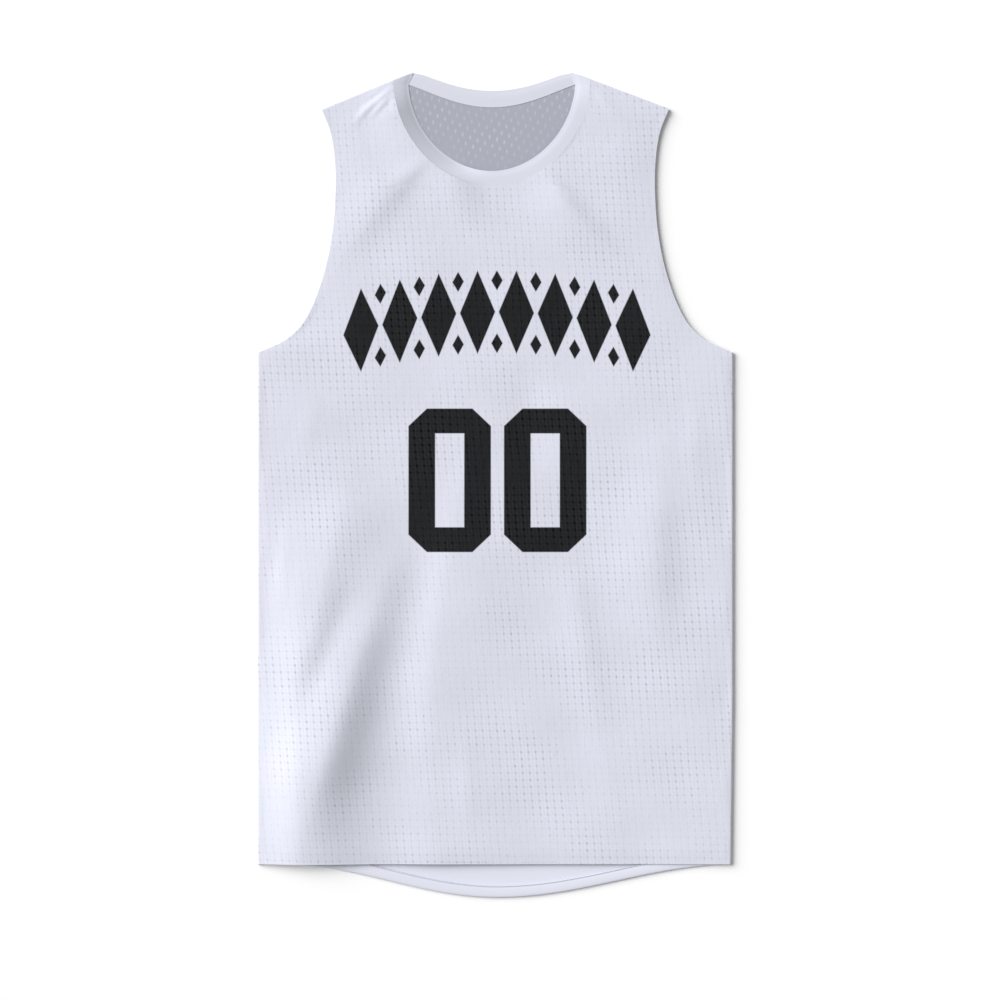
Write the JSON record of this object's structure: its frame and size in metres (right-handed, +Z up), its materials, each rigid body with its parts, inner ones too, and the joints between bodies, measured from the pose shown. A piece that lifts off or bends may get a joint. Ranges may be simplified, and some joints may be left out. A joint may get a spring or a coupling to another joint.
{
  "type": "basketball jersey",
  "caption": "Sleeveless mesh sports jersey laid flat, with a round rib neck, deep armholes, a straight front hem and a longer rounded back hem.",
  "frame": {"origin": "on the surface that the jersey lies on, below the middle of its bounding box", "axes": "+Y from hem to neck along the garment's length, +X to the right as seen from above, +Z up from the surface"},
  "size_m": [0.5, 0.869, 0.0221],
  "materials": {
    "eyelet_mesh": "white polyester eyelet mesh, matt with a slight sheen, with a black block number and a row of black lozenges dyed into the front",
    "mesh_reverse": "reverse of the white eyelet mesh, a little greyer",
    "rib_knit": "smooth fine white rib knit",
    "hem_cloth": "white mesh turned up and pressed, stitched along its top edge"
  },
  "bodies": {
    "root": {"front_panel": "eyelet_mesh", "back_panel": "mesh_reverse", "neck_band": "rib_knit", "back_hem_turn_up": "hem_cloth"}
  },
  "joints": []
}
